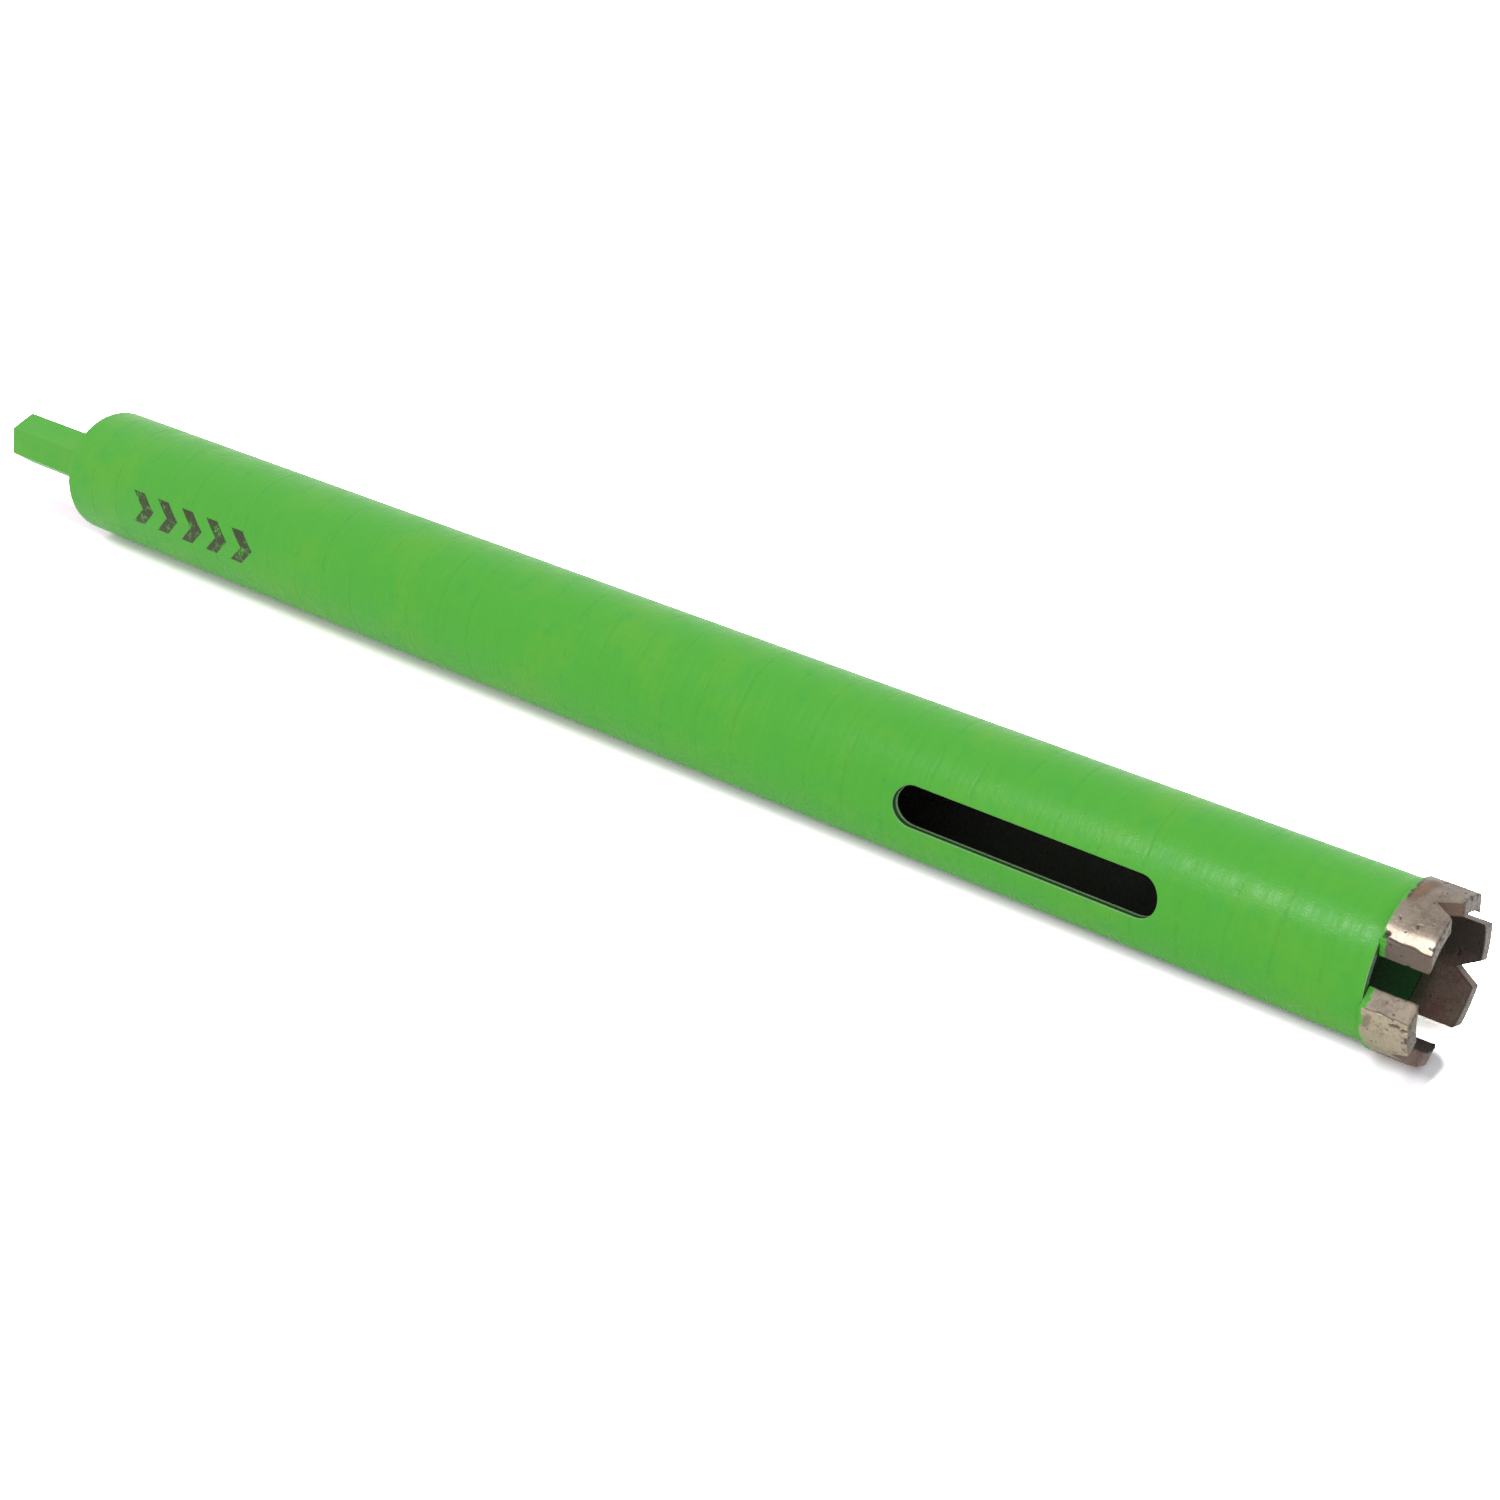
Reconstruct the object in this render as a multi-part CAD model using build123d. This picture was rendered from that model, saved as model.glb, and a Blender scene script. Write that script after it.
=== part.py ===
from build123d import *
import os
from math import acos, asin, degrees, radians, sin, sqrt

# Dry diamond core bit, lying on its side. Millimetres, +Z up.
# X runs along the axis: 0 is the end face of the shank, and +X points to the cutting crown.
# Each piece is drawn with the first segment at the top, and angles about X grow from +Z towards -Y,
# the side that the clearing slot faces. The whole bit is then rolled until it lies still.

# Driving dimensions: crown
core_diameter = 28.0
segment_count = 3
segment_height = 8.2
segment_thickness = 2.8
segment_half_angle = 37.2
segment_edge_radius = 0.35
notch_depth = 3.5
notch_width = 4.3
notch_radius = 0.4

# Driving dimensions: barrel
barrel_diameter = 26.5
barrel_wall = 1.8
barrel_length = 307.0
barrel_rear_radius = 0.4
barrel_rim_radius = 0.2

# Driving dimensions: clearing slot in the barrel
slot_width = 7.4
slot_length = 50.6
slot_from_rim = 35.1
slot_angle = 70.0
slot_edge_radius = 0.25

# Driving dimensions: plug that closes the barrel
plug_thickness = 8.0
plug_chamfer = 0.5

# Driving dimensions: hexagonal shank
shank_length = 31.5
shank_across_flats = 10.0
shank_flat_angle = 11.0
shank_chamfer = 0.4
spigot_diameter = 8.0

# Worked out from the driving dimensions
core_radius = core_diameter / 2
segment_bore_radius = core_radius - segment_thickness
segment_width = 2 * core_radius * sin(radians(segment_half_angle))
barrel_radius = barrel_diameter / 2
barrel_bore_radius = barrel_radius - barrel_wall
barrel_rear_x = shank_length
rim_x = barrel_rear_x + barrel_length
slot_centre_x = rim_x - slot_from_rim - slot_length / 2

# Roll about X at which the bit lies still: the barrel and the rounded corner of one segment touch the floor
corner_circle = core_radius - segment_edge_radius
corner_angle = degrees(asin((segment_width / 2 - segment_edge_radius) / corner_circle))
touching_angle = degrees(acos((barrel_radius - segment_edge_radius) / corner_circle))
rest_roll = 180 / segment_count - corner_angle - touching_angle


def disc(radius, length, start_x):
    """Solid cylinder about the X axis, from start_x towards the crown."""
    return extrude(Plane.YZ.offset(start_x) * Circle(radius), length)


def slot_cutter():
    """Prism with full round ends that passes through one wall of the barrel."""
    outline = Pos(slot_centre_x, 0, 0) * SlotOverall(slot_length, slot_width)
    return Rot(X=slot_angle) * extrude(outline, core_diameter)


def barrel():
    """Steel tube, open at the rim, with one long slot through its side."""
    tube = disc(barrel_radius, barrel_length, barrel_rear_x)
    tube -= disc(barrel_bore_radius, barrel_length, barrel_rear_x)
    rings = tube.edges().filter_by(GeomType.CIRCLE)
    rear_outer_edge = rings.group_by(Axis.X)[0].sort_by(SortBy.RADIUS)[-1]
    tube = fillet(rear_outer_edge, barrel_rear_radius)
    rim_edges = tube.edges().filter_by(GeomType.CIRCLE).group_by(Axis.X)[-1]
    tube = fillet(rim_edges, barrel_rim_radius)
    edges_before = tube.edges()
    tube -= slot_cutter()
    slot_edges = [edge for edge in tube.edges() - edges_before if is_on_outer_wall(edge)]
    return fillet(slot_edges, slot_edge_radius)


def is_on_outer_wall(edge):
    """True for an edge whose middle lies on the barrel's outer surface."""
    middle = edge @ 0.5
    return abs(sqrt(middle.Y**2 + middle.Z**2) - barrel_radius) < 0.01


def end_plug():
    """Round plug, flush with the barrel's rear end, with a hole for the shank's spigot."""
    plug = disc(barrel_bore_radius, plug_thickness, barrel_rear_x)
    rear_edge = plug.edges().filter_by(GeomType.CIRCLE).sort_by(Axis.X)[0]
    plug = chamfer(rear_edge, plug_chamfer)
    return plug - disc(spigot_diameter / 2, plug_thickness, barrel_rear_x)


def hex_shank():
    """Hexagonal bar, chamfered round its free end, with a round spigot on the other."""
    hexagon = RegularPolygon(shank_across_flats / 2, 6, major_radius=False)
    bar = extrude(Plane.YZ * hexagon, shank_length)
    bar = chamfer(bar.faces().sort_by(Axis.X)[0].edges(), shank_chamfer)
    return Rot(X=shank_flat_angle) * bar + disc(spigot_diameter / 2, plug_thickness, barrel_rear_x)


def notch_cutter():
    """V-shaped prism, pointing at the barrel, that splits the tip of a segment in two."""
    tip_x = rim_x + segment_height
    outline = Polyline(
        (tip_x + notch_depth, -notch_width),
        (tip_x - notch_depth, 0),
        (tip_x + notch_depth, notch_width),
        close=True,
    )
    prism = extrude(make_face(outline), core_diameter)
    root = prism.edges().filter_by(Axis.Z).sort_by(Axis.X)[0]
    return fillet(root, notch_radius)


def crown_segment(angle):
    """Sintered block with curved faces and parallel ends, butted against the barrel's rim."""
    ring = Circle(core_radius) - Circle(segment_bore_radius)
    window = Pos(0, core_radius / 2) * Rectangle(segment_width, core_radius)
    block = extrude(Plane.YZ.offset(rim_x) * (ring & window), segment_height)
    block -= notch_cutter()
    worn_edges = block.edges().filter_by(lambda edge: (edge @ 0.5).X > rim_x + 0.01)
    block = fillet(worn_edges, segment_edge_radius)
    return Rot(X=angle) * block


parts = {"barrel": barrel(), "end_plug": end_plug(), "hex_shank": hex_shank()}
for index in range(segment_count):
    parts[f"crown_segment_{index + 1}"] = crown_segment(index * 360 / segment_count)

parts = {name: Rot(X=rest_roll) * solid for name, solid in parts.items()}

os.makedirs("parts", exist_ok=True)
for name, solid in parts.items():
    export_step(solid, f"parts/{name}.step")
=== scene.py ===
# %% [markdown]
# A dry diamond core bit, lying on a pale studio floor.
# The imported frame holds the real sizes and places: a barrel with a slot, a hexagonal shank, a plug that
# joins the two, and three diamond segments on the barrel's rim. Everything here is in metres, with X along
# the bit towards the crown. The frame is loaded first and measured, so that each value below can be worked
# out from it.

# %% Load the frame and measure it
import bpy
import bmesh
from math import cos, hypot, pi, radians, sin
from mathutils import Matrix, Quaternion, Vector, noise
from mathutils.geometry import intersect_point_line


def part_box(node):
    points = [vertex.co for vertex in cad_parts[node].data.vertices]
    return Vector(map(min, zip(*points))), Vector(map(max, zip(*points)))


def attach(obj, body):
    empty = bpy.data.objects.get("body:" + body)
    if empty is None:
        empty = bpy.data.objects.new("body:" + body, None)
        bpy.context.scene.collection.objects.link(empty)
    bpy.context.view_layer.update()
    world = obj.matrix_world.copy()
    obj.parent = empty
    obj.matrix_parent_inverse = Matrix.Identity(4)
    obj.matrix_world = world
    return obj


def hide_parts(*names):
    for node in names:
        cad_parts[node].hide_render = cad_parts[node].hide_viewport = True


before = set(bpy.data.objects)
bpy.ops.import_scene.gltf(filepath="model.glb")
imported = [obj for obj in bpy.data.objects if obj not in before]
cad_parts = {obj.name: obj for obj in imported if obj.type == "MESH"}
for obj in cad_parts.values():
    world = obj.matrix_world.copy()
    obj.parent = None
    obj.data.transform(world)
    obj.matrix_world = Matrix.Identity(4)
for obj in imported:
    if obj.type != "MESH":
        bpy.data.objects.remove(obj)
scene = bpy.context.scene
bpy.context.view_layer.update()
MM = 0.001

barrel_low, barrel_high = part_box("barrel")
rim_x = barrel_high.x
tip_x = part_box("crown_segment_1")[1].x
barrel_radius = barrel_high.y
core_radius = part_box("crown_segment_1")[1].z
floor_z = -barrel_radius
print("barrel", barrel_low.x, "to", rim_x, "radius", barrel_radius, "crown radius", core_radius)

# %% [markdown]
# The camera stands in front of the crown, above and to the right of the bit, and looks down along it.
# A lens of about 57 mm gives the same narrowing from crown to shank as the photograph. The camera leans a
# little to one side. A quaternion that tracks the aim point, turned about the view axis, keeps the aim and
# the lean apart, where three Euler angles would mix them.

# %% Camera
CAMERA_AZIMUTH = 40.50
CAMERA_ELEVATION = 32.12
CAMERA_LEAN = -2.90
CAMERA_DISTANCE = 429.1 * MM
CAMERA_AIM = Vector((214.8, -3.9, -4.8)) * MM
CAMERA_LENS = 57.36
SENSOR_WIDTH = 36.0
NEAREST_SEEN = 10 * MM


def direction(azimuth, elevation):
    """Unit vector towards a point round the object; azimuth 0 is -Y and 90 is +X."""
    a, e = radians(azimuth), radians(elevation)
    return Vector((sin(a) * cos(e), -cos(a) * cos(e), sin(e)))


camera_data = bpy.data.cameras.new("camera")
camera_data.lens = CAMERA_LENS
camera_data.sensor_width = SENSOR_WIDTH
camera_data.clip_start = NEAREST_SEEN
camera = bpy.data.objects.new("camera", camera_data)
scene.collection.objects.link(camera)
back = direction(CAMERA_AZIMUTH, CAMERA_ELEVATION)
camera.location = CAMERA_AIM + back * CAMERA_DISTANCE
camera.rotation_mode = "QUATERNION"
lean = Quaternion((0, 0, 1), radians(CAMERA_LEAN))
camera.rotation_quaternion = (-back).to_track_quat("-Z", "Y") @ lean
scene.camera = camera
scene.view_settings.view_transform = "Standard"
print("camera at", camera.location)

# %% [markdown]
# Materials are node trees, and every tree needs the same few moves: add a node, set its values, link it.
# Short helpers keep each material readable. Patterns read Object coordinates, which are metres on every
# piece here, so sizes are written in millimetres and turned into a scale by one division.

# %% Helpers for nodes and links
def add(tree, kind, inputs=None, **settings):
    """Adds a node, sets its properties, and sets or links its inputs by name or number."""
    node = tree.nodes.new(kind)
    for key, value in settings.items():
        setattr(node, key, value)
    for key, value in (inputs or {}).items():
        put(tree, node.inputs[key], value)
    return node


def put(tree, socket, value):
    """Links an output to a socket, or sets the socket's own value."""
    if isinstance(value, bpy.types.NodeSocket):
        tree.links.new(value, socket)
    elif isinstance(value, bpy.types.Node):
        tree.links.new(value.outputs[0], socket)
    else:
        socket.default_value = value


def calc(tree, operation, *values, clamp=False):
    """A Math node's output."""
    node = add(tree, "ShaderNodeMath", dict(enumerate(values)), operation=operation, use_clamp=clamp)
    return node.outputs[0]


def product(tree, *values):
    """All values multiplied."""
    total = values[0]
    for value in values[1:]:
        total = calc(tree, "MULTIPLY", total, value)
    return total


def inverse(tree, value):
    """1 minus a mask."""
    return calc(tree, "SUBTRACT", 1.0, value)


def mix(tree, factor, a, b, blend="MIX"):
    """Blends two colours by a factor."""
    node = add(tree, "ShaderNodeMix", data_type="RGBA", blend_type=blend)
    for socket, value in ((node.inputs[0], factor), (node.inputs[6], a), (node.inputs[7], b)):
        put(tree, socket, value)
    return node.outputs[2]


def ramp(tree, value, low, high):
    """0 below low, 1 above high, and smooth between them."""
    node = add(tree, "ShaderNodeMapRange", {0: value, 1: low, 2: high}, interpolation_type="SMOOTHSTEP")
    return node.outputs[0]


def tint(tree, colour, tone):
    """A colour made lighter or darker by a changing tone, where 1 leaves it alone."""
    grey = add(tree, "ShaderNodeCombineColor", {0: tone, 1: tone, 2: tone})
    return mix(tree, 1.0, colour, grey.outputs[0], "MULTIPLY")


def rgb(*values):
    """A colour from three sRGB values of 0 to 255, as linear light."""
    linear = [(v / 255 / 12.92) if v < 11 else ((v / 255 + 0.055) / 1.055) ** 2.4 for v in values]
    return (*linear, 1.0)


# %% [markdown]
# An effect that several finishes share is a node group: a small tree with named inputs and outputs, which is
# built once and placed in each material. Every finish starts from the same Principled shader. Most of them
# need to know how far a point lies along the bit, and how far from its axis.

# %% Helpers for node groups and materials
def group(name, inputs, outputs):
    """An empty node group with number inputs and the named outputs."""
    tree = bpy.data.node_groups.new(name, "ShaderNodeTree")
    for key, value in inputs.items():
        tree.interface.new_socket(key, in_out="INPUT", socket_type="NodeSocketFloat").default_value = value
    for key, kind in outputs.items():
        tree.interface.new_socket(key, in_out="OUTPUT", socket_type="NodeSocket" + kind)
    return tree, tree.nodes.new("NodeGroupInput").outputs, tree.nodes.new("NodeGroupOutput").inputs


def use(tree, node_group, **inputs):
    """Places a node group in a tree, with its own values."""
    node = add(tree, "ShaderNodeGroup", inputs, node_tree=node_group)
    return node.outputs


def new_material(name):
    """A material with an empty Principled shader."""
    material = bpy.data.materials.new(name)
    material.use_nodes = True
    tree = material.node_tree
    return material, tree, tree.nodes["Principled BSDF"]


def object_place(tree):
    """Object coordinates, their three axes, and the distance from the bit's own axis."""
    place = add(tree, "ShaderNodeTexCoord").outputs["Object"]
    axes = add(tree, "ShaderNodeSeparateXYZ", {0: place}).outputs
    squares = [calc(tree, "MULTIPLY", axes[i], axes[i]) for i in (1, 2)]
    radius = calc(tree, "SQRT", calc(tree, "ADD", *squares))
    return place, axes, radius


# %% [markdown]
# Two patterns turn up in more than one finish. Cloudiness is the slow change of tone that any sprayed or
# sintered surface has. The sprayed coat is the green paint itself: a clear green with a little more yellow
# where it lies thick, and a faint orange peel. A coat could also be one flat colour, but that reads as
# plastic, so its tone drifts by a few percent.

# %% Shared patterns
FINE_PER_COARSE = 7.0


def make_cloudiness():
    """Soft blotches of two sizes, from 0 to 1. Size is in millimetres."""
    tree, inputs, outputs = group("cloudiness", {"Size": 5.0, "Grain": 0.5}, {"Factor": "Float"})
    place = add(tree, "ShaderNodeTexCoord").outputs["Object"]
    coarse_scale = calc(tree, "DIVIDE", 1 / MM, inputs["Size"])
    coarse = add(tree, "ShaderNodeTexNoise", {"Vector": place, "Scale": coarse_scale, "Detail": 3.0})
    fine_scale = calc(tree, "MULTIPLY", coarse_scale, FINE_PER_COARSE)
    fine = add(tree, "ShaderNodeTexNoise", {"Vector": place, "Scale": fine_scale, "Detail": 2.0})
    narrow = calc(tree, "MULTIPLY", calc(tree, "SUBTRACT", fine.outputs[0], 0.5), inputs["Grain"])
    put(tree, outputs["Factor"], calc(tree, "ADD", coarse.outputs[0], narrow, clamp=True))
    return tree


PAINT_GREEN = rgb(84, 184, 56)
PAINT_YELLOWER = rgb(98, 186, 54)
PAINT_BLUER = rgb(76, 181, 62)
PAINT_ROUGHNESS = 0.27
PAINT_UNEVENNESS = 0.12
PAINT_SPECULAR = 0.25
PAINT_DRIFT = 0.8
PEEL_HEIGHT = 1.6


def make_sprayed_coat(cloudiness):
    """Colour, roughness and height of the green coat. Drift is how much its tone changes."""
    sockets = {"Color": "Color", "Roughness": "Float", "Height": "Float"}
    tree, inputs, outputs = group("sprayed_coat", {"Drift": 0.5}, sockets)
    slow = use(tree, cloudiness, Size=16.0, Grain=0.3)["Factor"]
    quick = use(tree, cloudiness, Size=3.5, Grain=0.4)["Factor"]
    yellow = product(tree, ramp(tree, slow, 0.45, 0.7), inputs["Drift"])
    blue = product(tree, ramp(tree, quick, 0.5, 0.8), inputs["Drift"])
    colour = mix(tree, yellow, PAINT_GREEN, PAINT_YELLOWER)
    put(tree, outputs["Color"], mix(tree, blue, colour, PAINT_BLUER))
    put(tree, outputs["Roughness"], calc(tree, "MULTIPLY_ADD", quick, PAINT_UNEVENNESS, PAINT_ROUGHNESS))
    put(tree, outputs["Height"], use(tree, cloudiness, Size=1.4, Grain=0.5)["Factor"])
    return tree


cloudiness = make_cloudiness()
sprayed_coat = make_sprayed_coat(cloudiness)
print("shared patterns:", [tree.name for tree in bpy.data.node_groups])

# %% [markdown]
# The barrel is a drawn and turned steel tube under one coat of paint. Fine rings run round it, some rougher
# and some smoother, and every 8 mm the feed left one that is a little deeper. They break the highlight into
# short strokes. They could be cut into the mesh, but they are only some hundredths of a millimetre deep, so
# noise that is squeezed along the axis gives them in the finish.

# %% Turned rings
RING_SPACING = 0.9 * MM
RING_DRIFT = 90.0
GROOVE_PITCH = 8.1 * MM
GROOVE_WIDTH = 0.07
GROOVE_WOBBLE = 0.12
WOBBLE_SCALE = 240.0


def ring_marks(tree, place, axes):
    """Fine rings about the axis, and the deeper groove at each feed, both from 0 to 1."""
    stretch = (1 / RING_SPACING, RING_DRIFT, RING_DRIFT)
    squeezed = add(tree, "ShaderNodeVectorMath", {0: place, 1: stretch}, operation="MULTIPLY")
    rings = add(tree, "ShaderNodeTexNoise", {"Vector": squeezed.outputs[0], "Scale": 1.0, "Detail": 2.0})
    wobble = add(tree, "ShaderNodeTexNoise", {"Vector": place, "Scale": WOBBLE_SCALE, "Detail": 2.0})
    along = calc(tree, "DIVIDE", axes[0], GROOVE_PITCH)
    along = calc(tree, "MULTIPLY_ADD", wobble.outputs[0], GROOVE_WOBBLE, along)
    from_groove = calc(tree, "PINGPONG", along, 0.5)
    groove = inverse(tree, ramp(tree, from_groove, 0.0, GROOVE_WIDTH))
    patchy = use(tree, cloudiness, Size=7.0, Grain=0.8)["Factor"]
    return rings.outputs[0], product(tree, groove, ramp(tree, patchy, 0.35, 0.65))


# %% [markdown]
# A row of dark chevrons near the shank is printed on the paint: the bit is pushed the way they point. A
# picture could be wrapped round the barrel, but strokes this simple follow from the distances along the axis
# and round it, and stay sharp at any size.

# %% Printed chevrons
PRINT_START = 55.0 * MM
PRINT_ANGLE = radians(77.0)
CHEVRON_COUNT = 5
CHEVRON_PITCH = 7.8 * MM
CHEVRON_GAP = 0.26
STROKE_SOFTNESS = 0.03
CHEVRON_HALF_HEIGHT = 3.5 * MM


def printed_chevrons(tree, axes):
    """1 on the ink of a row of chevrons that point at the crown, and 0 elsewhere."""
    turn = calc(tree, "ARCTAN2", calc(tree, "MULTIPLY", axes[1], -1.0), axes[2])
    across = product(tree, calc(tree, "SUBTRACT", turn, PRINT_ANGLE), barrel_radius)
    across = calc(tree, "ABSOLUTE", across)
    along = calc(tree, "ADD", calc(tree, "SUBTRACT", axes[0], PRINT_START), across)
    step = calc(tree, "DIVIDE", along, CHEVRON_PITCH)
    stroke = ramp(tree, calc(tree, "PINGPONG", step, 0.5), CHEVRON_GAP, CHEVRON_GAP + STROKE_SOFTNESS)
    after_first = calc(tree, "GREATER_THAN", step, 0.0)
    inside = product(tree, after_first, calc(tree, "LESS_THAN", step, CHEVRON_COUNT))
    sides = inverse(tree, ramp(tree, across, CHEVRON_HALF_HEIGHT - 0.1 * MM, CHEVRON_HALF_HEIGHT))
    return product(tree, stroke, inside, sides)


# %% [markdown]
# Paint draws back from sharp edges, so those of the slot and the rim are pale, and the pale colour is also a
# painted highlight along them. The cut walls took only a thin, dark coat, and their dark colour is also
# painted shade. The bore was never sprayed, and is almost black. All of it follows from a point's place along
# the axis and its distance from it, so the barrel needs one material and no extra geometry. The flat rear end
# was sprayed like the outside, so it counts as far out.

# %% Painted barrel
RING_TONE = 0.08
RING_ROUGHNESS = 0.12
RING_HEIGHT = 0.8
RING_DEPTH = 0.06 * MM
GROOVE_TONE = 0.07
WALL_DEPTHS = (0.4 * MM, 0.2 * MM)
EDGE_DEPTHS = (0.09 * MM, 0.05 * MM)
EDGE_PALENESS = 0.8
BORE_RADIUS = 11.45 * MM
BORE_DULLNESS = 0.35
PALE_EDGE = 0.8 * MM
REAR_REACH = 1.0 * MM
# The thin coat is darker also as painted shade on the cut walls; the pale coat is lighter also as a painted
# highlight on edges.
THIN_COAT_AND_SHADE = rgb(46, 96, 44)
PALE_COAT_AND_HIGHLIGHT = rgb(158, 200, 146)
BORE_STEEL = rgb(60, 64, 55)
BORE_MIST = rgb(34, 84, 40)
BORE_MIST_REACH = 14 * MM
PRINT_INK = rgb(62, 50, 42)
INK_STRENGTH = 0.92


def outside(tree, radius, depths):
    """1 on the outside of the barrel, falling to 0 between two depths below it."""
    return ramp(tree, radius, *(barrel_radius - depth for depth in depths))


def make_painted_barrel():
    """Coat over turned steel, thin coat with painted shade on cut walls, pale edges with painted highlight,
    dark steel in the bore.
    """
    material, tree, shader = new_material("painted_barrel")
    place, axes, radius = object_place(tree)
    rear = calc(tree, "LESS_THAN", axes[0], barrel_low.x + REAR_REACH)
    radius = calc(tree, "MAXIMUM", radius, product(tree, rear, barrel_radius))
    coat = use(tree, sprayed_coat, Drift=PAINT_DRIFT)
    rings, groove = ring_marks(tree, place, axes)
    tone = calc(tree, "MULTIPLY_ADD", rings, RING_TONE, 1 - RING_TONE / 2)
    tone = calc(tree, "SUBTRACT", tone, calc(tree, "MULTIPLY", groove, GROOVE_TONE))
    colour = tint(tree, coat["Color"], tone)
    outer = outside(tree, radius, WALL_DEPTHS)
    worn_ink = ramp(tree, use(tree, cloudiness, Size=1.6, Grain=0.9)["Factor"], 0.25, 0.4)
    ink = product(tree, printed_chevrons(tree, axes), worn_ink, outer, INK_STRENGTH)
    colour = mix(tree, ink, colour, PRINT_INK)
    # The pale outer edges are thin paint and also a painted highlight along the rounded edges.
    edge = inverse(tree, outside(tree, radius, EDGE_DEPTHS))
    colour = mix(tree, product(tree, edge, EDGE_PALENESS), colour, PALE_COAT_AND_HIGHLIGHT)
    # The cut walls take the thin coat, which is darker also as painted shade.
    colour = mix(tree, inverse(tree, outer), colour, THIN_COAT_AND_SHADE)
    # The inner edges of the slot are pale too: thin paint and also a painted highlight.
    pale = inverse(tree, ramp(tree, radius, BORE_RADIUS + 0.4 * PALE_EDGE, BORE_RADIUS + PALE_EDGE))
    pale = product(tree, pale, calc(tree, "LESS_THAN", axes[0], rim_x - PALE_EDGE))
    colour = mix(tree, pale, colour, PALE_COAT_AND_HIGHLIGHT)
    in_bore = inverse(tree, ramp(tree, radius, BORE_RADIUS + 0.02 * MM, BORE_RADIUS + 0.05 * MM))
    mist = ramp(tree, axes[0], rim_x - BORE_MIST_REACH, rim_x)
    colour = mix(tree, in_bore, colour, mix(tree, mist, BORE_STEEL, BORE_MIST))
    put(tree, shader.inputs["Base Color"], colour)
    scored = calc(tree, "SUBTRACT", ramp(tree, rings, 0.38, 0.62), 0.5)
    roughness = calc(tree, "MULTIPLY_ADD", scored, RING_ROUGHNESS, coat["Roughness"])
    put(tree, shader.inputs["Roughness"], calc(tree, "MULTIPLY_ADD", in_bore, BORE_DULLNESS, roughness))
    height = calc(tree, "MULTIPLY_ADD", rings, RING_HEIGHT, product(tree, coat["Height"], PEEL_HEIGHT))
    height = calc(tree, "SUBTRACT", height, groove)
    bump = add(tree, "ShaderNodeBump", {"Height": height, "Strength": 0.7, "Distance": RING_DEPTH})
    put(tree, shader.inputs["Normal"], bump)
    shader.inputs["Specular IOR Level"].default_value = PAINT_SPECULAR
    return material


painted_barrel = make_painted_barrel()
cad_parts["barrel"].material_slots[0].material = painted_barrel
print("barrel paint:", len(painted_barrel.node_tree.nodes), "nodes")

# %% [markdown]
# The plug and the hexagonal shank were sprayed with the barrel. The shank is drawn bar, so its marks run
# along it instead of round it.

# %% Painted shank and plug
LINE_STRETCH = (60.0, 2200.0, 2200.0)
LINE_TONE = 0.08
LINE_HEIGHT = 0.6
LINE_DEPTH = 0.03 * MM


def make_painted_shank():
    """Sprayed coat over drawn bar, with faint lines along it."""
    material, tree, shader = new_material("painted_shank")
    place = add(tree, "ShaderNodeTexCoord").outputs["Object"]
    coat = use(tree, sprayed_coat, Drift=PAINT_DRIFT)
    squeezed = add(tree, "ShaderNodeVectorMath", {0: place, 1: LINE_STRETCH}, operation="MULTIPLY")
    lines = add(tree, "ShaderNodeTexNoise", {"Vector": squeezed.outputs[0], "Scale": 1.0, "Detail": 2.0})
    tone = calc(tree, "MULTIPLY_ADD", lines.outputs[0], LINE_TONE, 1 - LINE_TONE / 2)
    put(tree, shader.inputs["Base Color"], tint(tree, coat["Color"], tone))
    put(tree, shader.inputs["Roughness"], coat["Roughness"])
    peel = product(tree, coat["Height"], PEEL_HEIGHT)
    height = calc(tree, "MULTIPLY_ADD", lines.outputs[0], LINE_HEIGHT, peel)
    bump = add(tree, "ShaderNodeBump", {"Height": height, "Strength": 0.3, "Distance": LINE_DEPTH})
    put(tree, shader.inputs["Normal"], bump)
    shader.inputs["Specular IOR Level"].default_value = PAINT_SPECULAR
    return material


painted_shank = make_painted_shank()
for node_name in ("end_plug", "hex_shank"):
    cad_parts[node_name].material_slots[0].material = painted_shank
    print(node_name, "has", painted_shank.name)

# %% [markdown]
# A diamond segment is pressed from metal powder with diamond grit in it, then sintered. It looks like rough
# grey-brown stone with a metal glint: uneven faces, open pores, rounded and chipped edges, a crack or two.
# It could be carved by hand, but a block that is exact first and worn afterwards keeps the real size. One
# half of the block is spun from its section, cut square at its end and slanted at the notch, and mirrored.

# %% Model the blank of a segment
SEGMENT_THICKNESS = 2.8 * MM
SEGMENT_HALF_ANGLE = radians(37.2)
NOTCH_DEPTH = 3.5 * MM
NOTCH_WIDTH = 4.3 * MM
SPIN_ANGLE = radians(-60)
SPIN_STEPS = 20
MERGE_DISTANCE = 1e-6
segment_half_width = core_radius * sin(SEGMENT_HALF_ANGLE)


def cut_away(mesh, point, normal):
    """Removes what lies beyond a plane and closes the cut."""
    parts = mesh.verts[:] + mesh.edges[:] + mesh.faces[:]
    cut = bmesh.ops.bisect_plane(mesh, geom=parts, plane_co=point, plane_no=normal, clear_outer=True)
    edges = [part for part in cut["geom_cut"] if isinstance(part, bmesh.types.BMEdge)]
    bmesh.ops.contextual_create(mesh, geom=edges)


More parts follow.
